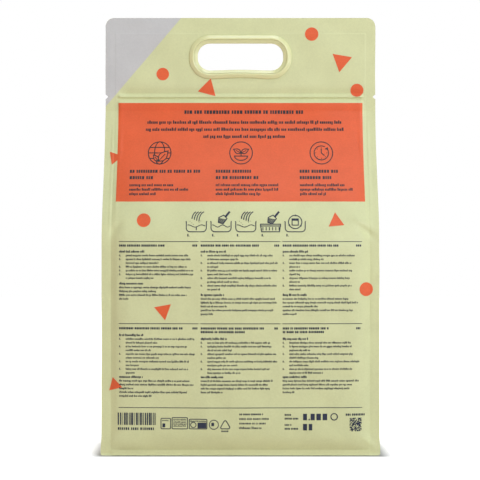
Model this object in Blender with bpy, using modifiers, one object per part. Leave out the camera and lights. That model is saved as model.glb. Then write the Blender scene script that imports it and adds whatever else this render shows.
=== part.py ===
"""A sealed flat-bottom pouch of cat litter, with a two-piece moulded grip in its header.

Metres, +Z up. The origin is the middle of the base, on the surface that the bag stands on.
The printed back panel faces -Y, the front panel faces +Y, and the side gussets face -X and +X.
"""

import math

import bmesh
import bpy
from mathutils import Vector

# The bag, as it is cut and sealed.
BAG_WIDTH = 0.250  # across the panels, side seals included
BAG_HEIGHT = 0.400  # base to the top edge
GUSSET_WIDTH = 0.095  # each side gusset laid flat, between its two seals
FILM = 0.0002  # one layer of laminate
SIDE_SEAL = 0.0085  # width of the fins that join panel and gusset
BASE_SEAL = 0.0055  # height of the skirt that joins the walls to the base film
CORNER_RADIUS = 0.008  # die-cut top corners
FOOT_RADIUS = 0.0022  # die-cut corners at the foot of the side seals
NOTCH_DROP = 0.0731  # top edge to the middle of the tear notches
NOTCH_DEPTH = 0.0023
NOTCH_HEIGHT = 0.0042

# The shape that the litter gives it.
GUSSET_SLACK = 0.005  # the filled gusset isn't pulled quite flat
SHOULDER_Z = 0.208  # the litter fills the bag's whole depth up to about here
FIN_ROUND = 0.2  # how softly the side seals turn from the taper into the upright walls
PANEL_ROUND = 0.5  # and the middle of a panel, which the litter holds out
GUSSET_OPENS = 0.65  # the gusset starts to open out at this share of the full depth
HEADER_HEIGHT = 0.086  # top edge down to where the two panels part
PANEL_BULGE = 0.010  # how far the middle of a panel stands out from its fins
BULGE_EDGE = 0.020  # how soon the bulge rises beside a fin
BULGE_AT_EDGE = 0.45  # this share of it has risen there, and the rest rises towards the middle
EDGE_CURVE = 2.5  # power of the curve with which it turns out from the fin
BASE_BULGE_EDGE = 0.044  # and above the skirt
BASE_CURVE = 3
GUSSET_BULGE = 0.006  # how far the filled gusset stands out
GUSSET_FOOT = 0.036  # how far up the gusset's bulge takes to rise
FOOT_FLARE = 0.0008  # the side seals spread a little where they meet the skirt
FOOT_FLARE_HEIGHT = 0.013
BASE_SAG_RUN = 0.012  # the base film runs this far in from the skirt before it lies flat

# The press-to-close strip shows through the film as two ribs.
ZIP_DROP = 0.0752  # top edge to the middle of the strip
ZIP_MARGIN = 0.002  # from its ends to the side seals
ZIP_RIB_PITCH = 0.0046
ZIP_RIB_WIDTH = 0.0034
ZIP_RIB_HEIGHT = 0.0009

# The grip: a front half whose collar passes through the header and locks in a back half.
HANDLE_DROP = 0.0362  # top edge to the middle of the hole
HOLE_LENGTH = 0.0792
HOLE_HEIGHT = 0.0250
HOLE_CORNER = 0.0115
HOLE_BOW = 0.0007  # the hole's lower edge arches up by this in the middle
RIM_BOW = 0.0011  # and the rim below it by this
RING_WIDTH = 0.0078  # from the hole's edge to the rim
RING_RISE = 0.0032  # from the middle of the film to the crest
RIM_THICKNESS = 0.0005
COLLAR_WALL = 0.0015
LIP_OVERHANG = 0.0016  # how far the collar's flared end hooks outwards
LIP_DROP = 0.0005  # from the crest down to the lip
CREST_INSET = 0.0009  # from the joint beside the lip to the crest
HOLE_ROUND = 0.0004  # rounding of the hole's edges
FIT_GAP = 0.0003  # kept between pieces that touch

# Fields of colour on the back panel.
PRINT_MARGIN = 0.0035  # from the orange field to the side seals
PRINT_DROP = 0.0792  # top edge to the orange field
PRINT_BASE_Z = 0.229
GREY_TOP_LENGTH = 0.070  # the grey corner's reach along the top edge
GREY_SIDE_LENGTH = 0.082  # and down the left edge

# How finely the surfaces are drawn.
PANEL_COLUMNS = 12
GUSSET_COLUMNS = 8
FOOT_ROWS = 7
BODY_ROWS = 7
BEND_ROWS = 10
TAPER_ROWS = 8
RIB_ROWS = 14
HEADER_ROWS = 4
RIDGE_STEPS = 6
ARC_STEPS = 8
BOW_STEPS = 8
ROW_GAP = 0.0005  # rows of points stand at least this far apart
CUTTER_REACH = 0.02  # how far a cutter stands clear of what it cuts
MERGE = 1e-6  # points nearer than this are one
FILM_CREASE = math.radians(35)  # edges sharper than this aren't shaded smooth
GRIP_CREASE = math.radians(40)

SEAL = 2 * FILM
HEADER_HALF = SEAL  # four layers of film lie on each other in the header
HALF_WIDTH = BAG_WIDTH / 2
FILLED_DEPTH = GUSSET_WIDTH - GUSSET_SLACK
FIN_X = HALF_WIDTH - SIDE_SEAL
TAPER_TOP_Z = BAG_HEIGHT - HEADER_HEIGHT
NOTCH_Z = BAG_HEIGHT - NOTCH_DROP
ZIP_Z = BAG_HEIGHT - ZIP_DROP
ZIP_END = FIN_X - ZIP_MARGIN
HANDLE_Z = BAG_HEIGHT - HANDLE_DROP
PRINT_HALF_WIDTH = FIN_X - PRINT_MARGIN
PRINT_TOP_Z = BAG_HEIGHT - PRINT_DROP


def srgb(code):
    """Turns a hex colour into the linear values that a shader takes."""
    channels = [int(code[i : i + 2], 16) / 255 for i in (0, 2, 4)]
    linear = [c / 12.92 if c <= 0.04045 else ((c + 0.055) / 1.055) ** 2.4 for c in channels]
    return (*linear, 1.0)


def make_material(name, code, roughness):
    material = bpy.data.materials.new(name)
    material.use_nodes = True
    shader = material.node_tree.nodes["Principled BSDF"]
    shader.inputs["Base Color"].default_value = srgb(code)
    shader.inputs["Roughness"].default_value = roughness
    shader.inputs["Metallic"].default_value = 0.0
    return material


def make_collection(name):
    collection = bpy.data.collections.new(name)
    bpy.context.scene.collection.children.link(collection)
    return collection


def clamp01(t):
    return min(1.0, max(0.0, t))


def smooth(t):
    t = clamp01(t)
    return t * t * (3 - 2 * t)


def soft_limit(value, softness):
    """The value up to 1, which it nears along a round curve."""
    near = clamp01(0.5 + 0.5 * (1 - value) / softness)
    return 1 + (value - 1) * near - softness * near * (1 - near)


def steps(low, high, count):
    """count + 1 values, evenly spread from low to high."""
    return [low + (high - low) * i / count for i in range(count + 1)]


# The shape of the filled bag


def fullness(z, softness=FIN_ROUND):
    """0 in the flat header, 1 where the bag has its whole depth."""
    down = max(0.0, (TAPER_TOP_Z - z) / (TAPER_TOP_Z - SHOULDER_Z))
    return soft_limit(down * (1 + down) / 2, softness)


def fin_depth(z):
    """How far the middle of a side seal lies from the bag's middle plane."""
    return SEAL / 2 + fullness(z) * (FILLED_DEPTH / 2 - SEAL / 2)


def tip_x(z):
    """The outer edge of a side seal, which flares a little at the foot."""
    return HALF_WIDTH + FOOT_FLARE * (1 - smooth((z - BASE_SEAL) / FOOT_FLARE_HEIGHT))


def zip_ribs(x, z):
    """The relief of the closure's two ribs."""
    along = smooth((ZIP_END - abs(x)) / ZIP_RIB_WIDTH)
    relief = 0.0
    for side in (-1, 1):
        off = abs(z - ZIP_Z - side * ZIP_RIB_PITCH / 2) / (ZIP_RIB_WIDTH / 2)
        if off < 1:
            relief += ZIP_RIB_HEIGHT * math.cos(math.pi * off / 2) ** 2
    return relief * along


def panel_bulge(x, z):
    """How far a panel stands out from the plane of its two fins."""
    inward = clamp01((FIN_X - abs(x)) / FIN_X)
    shoulder = 1 - (1 - clamp01((FIN_X - abs(x)) / BULGE_EDGE)) ** EDGE_CURVE
    crown = 1 - (1 - inward) ** 2
    across = BULGE_AT_EDGE * shoulder + (1 - BULGE_AT_EDGE) * crown
    rise = 1 - (1 - clamp01((z - BASE_SEAL) / BASE_BULGE_EDGE)) ** BASE_CURVE
    middle = (FILLED_DEPTH / 2 + PANEL_BULGE) * fullness(z, PANEL_ROUND)
    return (middle - FILLED_DEPTH / 2 * fullness(z)) * across * rise


def panel_y(x, z):
    return fin_depth(z) + SEAL / 2 + panel_bulge(x, z) + zip_ribs(x, z)


def gusset_fold(z):
    """How far the gusset's crease lies inside the fins. The film keeps its length."""
    half = GUSSET_WIDTH / 2
    depth = min(fin_depth(z), half)
    folded = math.sqrt(half * half - depth * depth)
    filled = smooth((fullness(z) - GUSSET_OPENS) / (1 - GUSSET_OPENS))
    return folded * (1 - filled)


def gusset_point(v, z):
    """A point of the gusset: v is 0 at the fin and 1 at the crease."""
    inner = fin_depth(z) - SEAL / 2
    bulge = GUSSET_BULGE * fullness(z) ** 4 * smooth((z - BASE_SEAL) / GUSSET_FOOT)
    return Vector((FIN_X - gusset_fold(z) * v + bulge * (1 - (1 - v) ** 2), -inner * (1 - v), z))


def base_z(x, y, wall_x, wall_y):
    """The underside of the base film, flat on the ground inside the skirt."""
    inward = min(wall_x - x, wall_y + y)
    return BASE_SEAL * (1 - clamp01(inward / BASE_SAG_RUN)) ** 2


# The pouch


def panel_columns():
    """Closer together towards the fin, with a line on the print's edge."""
    inner = [PRINT_HALF_WIDTH * math.sin(math.pi / 2 * t) for t in steps(0, 1, PANEL_COLUMNS)]
    return [*inner, FIN_X - SEAL, FIN_X]


def fin_columns():
    """Shares of a side seal's width."""
    return steps(0, 1, 2)


def panel_rows():
    """Heights of the rows, closer together at the base and over the closure's ribs."""
    edges = [0, BASE_SEAL, PRINT_BASE_Z, TAPER_TOP_Z, PRINT_TOP_Z, BAG_HEIGHT]
    foot_top = BASE_SEAL + BASE_BULGE_EDGE
    bend = FIN_ROUND * (TAPER_TOP_Z - SHOULDER_Z)
    rib_reach = (ZIP_RIB_PITCH + ZIP_RIB_WIDTH) / 2
    between = [
        BASE_SEAL / 2,
        *(BASE_SEAL + BASE_BULGE_EDGE * t**1.5 for t in steps(0, 1, FOOT_ROWS)),
        *steps(foot_top, SHOULDER_Z - bend, BODY_ROWS),
        *steps(SHOULDER_Z - bend, SHOULDER_Z + 2 * bend, BEND_ROWS),
        *steps(SHOULDER_Z + 2 * bend, TAPER_TOP_Z, TAPER_ROWS),
        *steps(ZIP_Z - rib_reach, ZIP_Z + rib_reach, RIB_ROWS),
        *steps(ZIP_Z + rib_reach, BAG_HEIGHT, HEADER_ROWS),
    ]
    rows = sorted(edges)
    for z in sorted(between):
        if all(abs(z - kept) > ROW_GAP for kept in rows):
            rows.append(z)
    return sorted(rows)


def add_grid(bm, rows):
    """Joins rows of points with quads. Each row has as many points as the next."""
    made = [[bm.verts.new(point) for point in row] for row in rows]
    for low, high in zip(made, made[1:]):
        for i in range(len(low) - 1):
            bm.faces.new((low[i], low[i + 1], high[i + 1], high[i]))


def quarter_pouch():
    """The quarter at +X and -Y, open where it meets the planes X = 0 and Y = 0."""
    bm = bmesh.new()
    rows = panel_rows()
    columns = panel_columns()
    fin = fin_columns()
    slot_rows = [z for z in rows if z <= TAPER_TOP_Z]

    def fin_x(share, z):
        return FIN_X + (tip_x(z) - FIN_X) * share

    def outer(z):
        return fin_depth(z) + SEAL / 2

    def inner(z):
        return fin_depth(z) - SEAL / 2

    def seal_inner(z):
        return inner(z) if z < TAPER_TOP_Z else 0.0

    panel = [[Vector((x, -panel_y(x, z), z)) for x in columns] for z in rows]
    add_grid(bm, panel)
    add_grid(bm, [[Vector((fin_x(s, z), -outer(z), z)) for s in fin] for z in rows])
    add_grid(
        bm,
        [[Vector((tip_x(z), -y, z)) for y in (outer(z), seal_inner(z))] for z in rows],
    )
    add_grid(bm, [[Vector((fin_x(s, z), -seal_inner(z), z)) for s in fin] for z in slot_rows])
    shares = steps(0, 1, GUSSET_COLUMNS)
    add_grid(
        bm,
        [
            [
                gusset_point(v, z) if z < TAPER_TOP_Z else Vector((gusset_point(v, z).x, 0, z))
                for v in shares
            ]
            for z in slot_rows
        ],
    )
    top = rows[-1]
    across = [*columns, *(fin_x(s, top) for s in fin[1:])]
    add_grid(bm, [[Vector((x, -y, top)) for x in across] for y in (outer(top), 0.0)])
    add_base(bm, columns, fin, shares)
    bmesh.ops.remove_doubles(bm, verts=bm.verts, dist=MERGE)
    return bm


def add_base(bm, columns, fin, shares):
    """The skirt's lower edge, its inner wall and the base film."""
    outer = fin_depth(0) + SEAL / 2
    inner = fin_depth(0) - SEAL / 2
    side = [gusset_point(v, 0) for v in shares]
    inside = columns[:-1]  # the last but one is a seal's thickness in from the fin

    def fin_x(share):
        return FIN_X + (tip_x(0) - FIN_X) * share

    add_grid(bm, [[Vector((x, -y, 0)) for x in columns] for y in (outer, inner)])
    add_grid(bm, [[Vector((fin_x(s), -y, 0)) for s in fin] for y in (outer, inner)])
    add_grid(bm, [[p - Vector((offset, 0, 0)) for p in side] for offset in (0, SEAL)])
    levels = (0, BASE_SEAL)
    add_grid(bm, [[Vector((x, -inner, z)) for x in inside] for z in levels])
    add_grid(bm, [[Vector((p.x - SEAL, p.y, z)) for p in side] for z in levels])
    film = []
    for p in side:
        wall_x = p.x - SEAL
        stretch = wall_x / inside[-1]
        film.append(
            [Vector((x * stretch, p.y, base_z(x * stretch, p.y, wall_x, inner))) for x in inside]
        )
    add_grid(bm, film)


def grip_outline(rise):
    """The grip's hole grown by rise, as points in (x, z) about the hole's centre."""
    corner = min(HOLE_CORNER, HOLE_HEIGHT / 2)
    radius = corner + rise
    centre_x = HOLE_LENGTH / 2 - corner
    centre_z = HOLE_HEIGHT / 2 - corner
    bow = HOLE_BOW + (RIM_BOW - HOLE_BOW) * rise / RING_WIDTH

    def arc(side_x, side_z, start):
        """A quarter turn clockwise about one of the four corners' centres."""
        return [
            (side_x * centre_x + radius * math.cos(a), side_z * centre_z + radius * math.sin(a))
            for a in steps(start, start - math.pi / 2, ARC_STEPS)
        ]

    lower = [
        (centre_x * share, bow * (1 - share * share) ** 2 - centre_z - radius)
        for share in steps(1, -1, BOW_STEPS)[1:-1]
    ]
    right = [*arc(1, 1, math.pi / 2), *arc(1, -1, 0)]
    left = [*arc(-1, -1, -math.pi / 2), *arc(-1, 1, math.pi)]
    return [*right, *lower, *left]


def outline_prism(name, points, reach, collection):
    """A cutter: a flat outline in (x, z), extruded by reach to the front and to the back."""
    curve = bpy.data.curves.new(name, "CURVE")
    curve.dimensions = "2D"
    curve.fill_mode = "BOTH"
    curve.extrude = reach
    spline = curve.splines.new("POLY")
    spline.points.add(len(points) - 1)
    for place, (x, z) in zip(spline.points, points):
        place.co = (x, z, 0, 1)
    spline.use_cyclic_u = True
    drawn = bpy.data.objects.new(name + "_outline", curve)
    collection.objects.link(drawn)
    drawn.rotation_euler = (math.pi / 2, 0, 0)
    return as_mesh(drawn, name, collection)


def as_mesh(drawn, name, collection):
    """The evaluated object as a closed mesh in a new object. The drawn one is removed."""
    bpy.context.view_layer.update()
    evaluated = drawn.evaluated_get(bpy.context.evaluated_depsgraph_get())
    mesh = bpy.data.meshes.new_from_object(evaluated)
    mesh.name = name
    bm = bmesh.new()
    bm.from_mesh(mesh)
    bmesh.ops.remove_doubles(bm, verts=bm.verts, dist=MERGE)
    bmesh.ops.recalc_face_normals(bm, faces=bm.faces)
    bm.to_mesh(mesh)
    bm.free()
    made = bpy.data.objects.new(name, mesh)
    made.matrix_world = drawn.matrix_world
    collection.objects.link(made)
    bpy.data.objects.remove(drawn)
    return made


def corner_outline(side, edge_x, edge_z, up, radius):
    """What the die takes off a corner: up is 1 at the top edge and -1 at the foot."""
    centre_x = edge_x - radius
    centre_z = edge_z - up * radius
    arc = [
        (centre_x + radius * math.cos(a), centre_z + up * radius * math.sin(a))
        for a in steps(0, math.pi / 2, ARC_STEPS)
    ]
    clear_x = edge_x + CUTTER_REACH
    clear_z = edge_z + up * CUTTER_REACH
    outside = [(centre_x, clear_z), (clear_x, clear_z), (clear_x, centre_z)]
    return [(side * x, z) for x, z in [*arc, *outside]]


def notch_outline(side):
    """A tear notch with a rounded tip."""
    tip = NOTCH_DEPTH / 4
    half = NOTCH_HEIGHT / 2
    clear = CUTTER_REACH / 4
    flare = half * (NOTCH_DEPTH + clear) / NOTCH_DEPTH
    root = HALF_WIDTH - NOTCH_DEPTH + tip
    points = [(HALF_WIDTH + clear, NOTCH_Z - flare)]
    for angle in steps(-2 * math.pi / 3, -4 * math.pi / 3, 4):
        points.append((root + tip * math.cos(angle), NOTCH_Z + tip * math.sin(angle)))
    points.append((HALF_WIDTH + clear, NOTCH_Z + flare))
    return [(side * x, z) for x, z in points]


def paint_fields(mesh):
    """Gives the print's fields their own material slots: 1 is orange and 2 is grey."""
    bm = bmesh.new()
    bm.from_mesh(mesh)
    start = Vector((GREY_TOP_LENGTH - HALF_WIDTH, 0, BAG_HEIGHT))
    end = Vector((-HALF_WIDTH, 0, BAG_HEIGHT - GREY_SIDE_LENGTH))
    across = Vector((end.z - start.z, 0, start.x - end.x))
    faces = [f for f in bm.faces if f.normal.y < -0.5 and f.calc_center_median().z > TAPER_TOP_Z]
    edges = {e for f in faces for e in f.edges}
    verts = {v for f in faces for v in f.verts}
    bmesh.ops.bisect_plane(
        bm, geom=[*verts, *edges, *faces], plane_co=start, plane_no=across, dist=MERGE
    )
    for face in bm.faces:
        middle = face.calc_center_median()
        if face.normal.y > -0.2 or middle.y > -HEADER_HALF / 2:
            continue
        if (middle - start).dot(across) > 0 and middle.x < 0:
            face.material_index = 2
        elif abs(middle.x) < PRINT_HALF_WIDTH and PRINT_BASE_Z < middle.z < PRINT_TOP_Z:
            face.material_index = 1
    bm.to_mesh(mesh)
    bm.free()


def cut(target, cutter):
    modifier = target.modifiers.new(cutter.name, "BOOLEAN")
    modifier.operation = "DIFFERENCE"
    modifier.solver = "EXACT"
    modifier.object = cutter
    cutter.hide_render = True
    cutter.display_type = "WIRE"


def make_pouch(parts, cutters):
    bm = quarter_pouch()
    mesh = bpy.data.meshes.new("pouch_quarter")
    bm.to_mesh(mesh)
    bm.free()
    quarter = bpy.data.objects.new("pouch_quarter", mesh)
    parts.objects.link(quarter)
    mirror = quarter.modifiers.new("halves", "MIRROR")
    mirror.use_axis = (True, True, False)
    mirror.merge_threshold = MERGE
    pouch = as_mesh(quarter, "pouch", parts)
    paint_fields(pouch.data)
    pouch.data.materials.append(make_material("matt_pale_green_film", "D2D3A3", 0.5))
    pouch.data.materials.append(make_material("orange_print", "DF6847", 0.5))
    pouch.data.materials.append(make_material("grey_print", "C1C1C1", 0.5))
    pouch.data.shade_smooth()
    pouch.data.set_sharp_from_angle(angle=FILM_CREASE)
    deep = FILLED_DEPTH / 2 + CUTTER_REACH
    for side, word in ((-1, "left"), (1, "right")):
        top = corner_outline(side, HALF_WIDTH, BAG_HEIGHT, 1, CORNER_RADIUS)
        foot = corner_outline(side, tip_x(0), 0, -1, FOOT_RADIUS)
        cut(pouch, outline_prism(f"corner_{word}", top, CUTTER_REACH, cutters))
        cut(pouch, outline_prism(f"notch_{word}", notch_outline(side), CUTTER_REACH, cutters))
        cut(pouch, outline_prism(f"foot_{word}", foot, deep, cutters))
    hole = [(x, z + HANDLE_Z) for x, z in grip_outline(COLLAR_WALL + FIT_GAP)]
    cut(pouch, outline_prism("grip_hole", hole, CUTTER_REACH, cutters))


# The grip


def swept_ring(name, profile, parts, material):
    """Carries a closed profile round the grip's hole.

    A profile point is (u, v): u outwards from the hole's edge, v towards the back, from the film.
    """
    bm = bmesh.new()
    loops = []
    for u, v in profile:
        loops.append([bm.verts.new((x, -v, z + HANDLE_Z)) for x, z in grip_outline(u)])
    for one, two in zip(loops, [*loops[1:], loops[0]]):
        count = len(one)
        for i in range(count):
            j = (i + 1) % count
            bm.faces.new((one[i], one[j], two[j], two[i]))
    bmesh.ops.recalc_face_normals(bm, faces=bm.faces)
    mesh = bpy.data.meshes.new(name)
    bm.to_mesh(mesh)
    bm.free()
    mesh.materials.append(material)
    mesh.shade_smooth()
    mesh.set_sharp_from_angle(angle=GRIP_CREASE)
    ring = bpy.data.objects.new(name, mesh)
    parts.objects.link(ring)
    return ring


def ridge(inner_u, inner_v, crest_u, seat):
    """The rounded ridge of a half, from its inner edge over the crest to the rim."""
    foot = seat + RIM_THICKNESS
    outside = [
        (crest_u + (RING_WIDTH - crest_u) * math.cos(a), foot + (RING_RISE - foot) * math.sin(a))
        for a in steps(math.pi / 2, 0, RIDGE_STEPS)
    ]
    shoulder = ((inner_u + crest_u) / 2, (inner_v + 3 * RING_RISE) / 4)
    return [(inner_u, inner_v), shoulder, *outside]


def make_grip(parts):
    """Two halves that clamp the header between them."""
    plastic = make_material("moulded_pale_green_plastic", "E3E1BE", 0.35)
    seat = HEADER_HALF + FIT_GAP  # where a flange lies against the film
    under_lip = seat + RIM_THICKNESS + FIT_GAP
    lip_u = COLLAR_WALL + LIP_OVERHANG
    lip_v = RING_RISE - LIP_DROP
    socket_u = lip_u + FIT_GAP
    crest_u = socket_u + CREST_INSET
    wall_v = (RING_RISE + HEADER_HALF) / 3  # the hole's straight wall ends here on each side
    back = [
        (COLLAR_WALL + FIT_GAP, seat),
        (COLLAR_WALL + FIT_GAP, seat + RIM_THICKNESS),
        (socket_u, lip_v - 2 * FIT_GAP),
        *ridge(socket_u, lip_v, crest_u, seat),
        (RING_WIDTH, seat),
    ]
    swept_ring("handle_back_half", back, parts, plastic)
    front_ridge = [(u, -v) for u, v in ridge(HOLE_ROUND, wall_v + HOLE_ROUND, crest_u, seat)]
    front = [
        (0.0, -wall_v),
        (0.0, wall_v),
        (HOLE_ROUND, wall_v + HOLE_ROUND),
        (lip_u - HOLE_ROUND, lip_v),
        (lip_u, lip_v),
        (lip_u, lip_v - FIT_GAP / 2),
        (COLLAR_WALL, under_lip),
        (COLLAR_WALL, -seat),
        (RING_WIDTH, -seat),
        *reversed(front_ridge),
    ]
    swept_ring("handle_front_half", front, parts, plastic)


def main():
    for found in list(bpy.data.objects):
        bpy.data.objects.remove(found)
    parts = make_collection("cat_litter_bag")
    cutters = make_collection("cutters")
    make_pouch(parts, cutters)
    make_grip(parts)


main()
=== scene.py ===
"""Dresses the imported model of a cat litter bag: film, print, moulded grip and studio.

Metres, +Z up. The origin is the middle of the base, and the printed back panel faces -Y.
"""

import math
from contextlib import contextmanager

import bmesh
import bpy
import numpy as np
from bpy.props import FloatProperty, FloatVectorProperty, IntProperty, PointerProperty, StringProperty
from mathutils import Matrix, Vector


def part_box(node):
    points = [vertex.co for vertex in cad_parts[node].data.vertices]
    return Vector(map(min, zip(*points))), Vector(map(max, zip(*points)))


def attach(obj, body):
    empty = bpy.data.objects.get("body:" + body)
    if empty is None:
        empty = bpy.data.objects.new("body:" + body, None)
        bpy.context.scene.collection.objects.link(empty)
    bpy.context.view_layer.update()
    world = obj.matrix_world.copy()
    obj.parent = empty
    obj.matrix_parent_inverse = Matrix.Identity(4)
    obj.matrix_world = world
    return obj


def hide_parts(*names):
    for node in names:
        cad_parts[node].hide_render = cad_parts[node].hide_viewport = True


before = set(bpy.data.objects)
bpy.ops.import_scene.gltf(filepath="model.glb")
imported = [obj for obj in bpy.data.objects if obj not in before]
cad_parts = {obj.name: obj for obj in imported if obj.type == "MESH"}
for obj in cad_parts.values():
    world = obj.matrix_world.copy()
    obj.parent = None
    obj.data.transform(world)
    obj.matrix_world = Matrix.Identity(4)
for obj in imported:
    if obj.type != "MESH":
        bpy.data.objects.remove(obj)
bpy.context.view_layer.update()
POUCH_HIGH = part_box("pouch")[1]
GRIP_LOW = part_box("handle_back_half")[0]

bl_info = {
    "name": "Cat Litter Bag",
    "version": (1, 0, 0),
    "blender": (4, 5, 0),
    "location": "3D View > Sidebar > Litter Bag",
    "description": "A filled flat-bottom pouch with a moulded grip, in a plain studio",
    "category": "Add Mesh",
}

FOOT_FLARE = 0.0008  # the side seals spread by this at the foot
FOOT_CORNER = 0.0022  # radius of the side seals' lower corners
FIT_GAP = 0.0003  # between the grip's halves and the film
INK_LIFT = 0.00008  # each layer of print stands this far off what is under it
MERGE = 1e-6  # points nearer than this are one
PRINT_CELL = 0.003  # print follows the film in cells no longer than this
MOTIF_LAYER = 2  # the motifs lie on the fields
TEXT_LAYER = 3  # and the text on both
NOTCH_DEPTH = 0.0023
NOTCH_HALF = 0.0021  # half of a tear notch's mouth


def linear(code):
    """The linear colour of an sRGB hex code."""
    channels = [int(code.lstrip("#")[i : i + 2], 16) / 255 for i in (0, 2, 4)]
    return (*(c / 12.92 if c <= 0.04045 else ((c + 0.055) / 1.055) ** 2.4 for c in channels), 1.0)


def smooth(t):
    t = np.clip(t, 0.0, 1.0)
    return t * t * (3 - 2 * t)


def steps(low, high, count):
    return np.linspace(low, high, count + 1)


def spaced(end, *stretches):
    """Values up to the end, in stretches that each have a start and a spacing."""
    ends = [*(start for start, _ in stretches[1:]), end]
    runs = [
        steps(start, stop, max(1, round((stop - start) / gap)))
        for (start, gap), stop in zip(stretches, ends)
    ]
    values = np.unique(np.round(np.concatenate(runs), 7))
    return values[np.concatenate([[True], np.diff(values) > 1e-5])]


def grid(x, y, z):
    """Points from coordinates that are numbers, rows or columns."""
    return np.stack(np.broadcast_arrays(x, y, z), axis=-1)


def wave(u, v, seed):
    """Gentle uneven waves about one unit long, from -1 to 1."""
    draw = np.random.default_rng(seed)
    turns = draw.uniform(0, 2 * math.pi, 6)
    spacings = draw.uniform(0.7, 1.6, 6)
    phases = draw.uniform(0, 7, 6)
    total = np.zeros(np.broadcast(u, v).shape)
    for turn, spacing, phase in zip(turns, spacings, phases):
        total += np.sin(2 * math.pi * (u * math.cos(turn) + v * math.sin(turn)) / spacing + phase)
    return total / 4


def lumps(u, v, layers):
    """Unevenness in layers of (height, length along u, length along v, seed)."""
    return sum(height * wave(u / along, v / up, seed) for height, along, up, seed in layers)


# Sizes and colours that a user would change


def length(name, description, default):
    return FloatProperty(name=name, description=description, default=default, unit="LENGTH", precision=4)


def power(name, description, default):
    return FloatProperty(name=name, description=description, default=default, unit="POWER")


def tint(name, description, default):
    return FloatVectorProperty(name=name, description=description, default=default, subtype="COLOR")


def colour(name, description, default):
    return StringProperty(name=name, description=description + ", as an sRGB hex code", default=default)


class BagSizes(bpy.types.PropertyGroup):
    """The filled pouch."""

    width: length("Width", "Across a panel with its side seals", 2 * (POUCH_HIGH.x - FOOT_FLARE))
    height: length("Height", "Base to the top edge", POUCH_HIGH.z)
    gusset: length("Gusset", "Width of a side gusset laid flat", 0.095)
    depth: length("Depth", "Filled depth between the side seals", 0.090)
    film: length("Film", "Thickness of one layer", 0.0002)
    side_seal: length("Side seal", "Width of the side seals", 0.0085)
    base_seal: length("Base seal", "Height of the skirt round the base", 0.0055)
    header: length("Header", "Top edge down to where the panels part", 0.086)
    shoulder: length("Shoulder", "Height up to which the bag is full", 0.208)
    bulge: length("Bulge", "How far a panel stands out from its seals", 0.010)
    gusset_bulge: length("Gusset bulge", "How far a gusset stands out", 0.006)
    corner: length("Corner", "Radius of the top corners", 0.008)
    zip_drop: length("Closure", "Top edge to the middle of the closure", 0.0752)
    notch_drop: length("Notch", "Top edge to the tear notches", 0.0731)
    grip_drop: length("Grip", "Top edge to the middle of the grip", 0.0362)
    crumple: FloatProperty(name="Crumple", description="Strength of the dents", default=1.0, min=0, max=3)


class GripSizes(bpy.types.PropertyGroup):
    """The moulded grip."""

    hole_length: length("Hole length", "Length of the finger hole", 0.0792)
    hole_height: length("Hole height", "Height of the finger hole", 0.0250)
    hole_corner: length("Hole corner", "Radius of the finger hole's corners", 0.0115)
    hole_bow: length("Hole bow", "Arch of the hole's lower edge", 0.0007)
    rim_bow: length("Rim bow", "Arch of the rim below the hole", 0.0011)
    ring: length("Ring", "Width from the hole to the rim", 0.0078)
    rise: length("Rise", "Middle of the film to the crest", -GRIP_LOW.y)
    rim: length("Rim", "Thickness of the rim's edge", 0.0005)
    collar: length("Collar", "Wall of the collar through the film", 0.0015)
    lip: length("Lip", "Overhang of the collar's lip", 0.0016)
    lip_drop: length("Lip drop", "Crest down to the lip", 0.0005)
    crest: length("Crest", "Joint beside the lip to the crest", 0.0009)


class PrintSizes(bpy.types.PropertyGroup):
    """The back panel's print."""

    margin: length("Margin", "Side seals to the orange field", 0.0035)
    field_drop: length("Field top", "Top edge to the orange field", 0.0789)
    field_base: length("Field base", "Height of the orange field's lower edge", 0.229)
    grey_along: length("Grey along", "The grey corner's reach along the top", 0.070)
    grey_down: length("Grey down", "The grey corner's reach down the side", 0.082)
    column: length("Column", "Width of a text column", 0.0716)
    column_pitch: length("Column pitch", "From one column's left edge to the next", 0.0733)
    row_pitch: length("Row pitch", "From one row of small text to the next", 0.00337)
    x_height: length("Letter height", "Height of the small text's marks", 0.00125)
    rule: length("Rule", "Thickness of the ruled lines", 0.00052)
    icon_line: length("Icon line", "Thickness of the pictograms' lines", 0.00084)
    seed: IntProperty(name="Seed", description="Draws another set of words", default=11)


class Colours(bpy.types.PropertyGroup):
    """Colours of films, inks and plastic."""

    film: colour("Film", "The pale green film", "CED2A0")
    orange: colour("Orange", "The orange ink", "DC6036")
    grey: colour("Grey", "The grey ink", "C1C2BF")
    ink: colour("Ink", "The dark blue ink of text and pictograms", "262C3C")
    overprint: colour("Overprint", "The same ink where it lies over the orange", "1E2023")
    grip: colour("Grip", "The moulded plastic", "D7D89F")
    floor: colour("Floor", "The floor's paint as the camera sees it", "BDBDBC")
    bounce: colour("Bounce", "The floor's paint as the bag sees it", "F3E1DC")


class Studio(bpy.types.PropertyGroup):
    """Camera, floor and lamps."""

    distance: length("Distance", "Camera to the bag's middle plane", 1.525)
    eye: length("Eye height", "Camera above the floor", 0.1942)
    aside: length("Aside", "Camera to the left of the bag's middle", 0.0004)
    lens: FloatProperty(name="Lens", description="Focal length in millimetres", default=123.35, min=1)
    key: power("Key", "Power of the large lamp in front", 30.8)
    top: power("Top", "Power of the lamp above", 13)
    side: power("Side", "Power of the lamp on the right", 8)
    fill: power("Fill", "Power of the warm lamp on the left", 3)
    back: power("Back", "Power of the lamp behind the bag", 38)
    air: FloatProperty(name="Air", description="Brightness of the room", default=0.21, min=0, max=2)
    cool: tint("Cool", "Colour of the key, top and side lamps", (0.94, 1, 1.08))
    warm: tint("Warm", "Colour of the fill lamp", (1, 0.56, 0.37))


# The form of the bag


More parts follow.
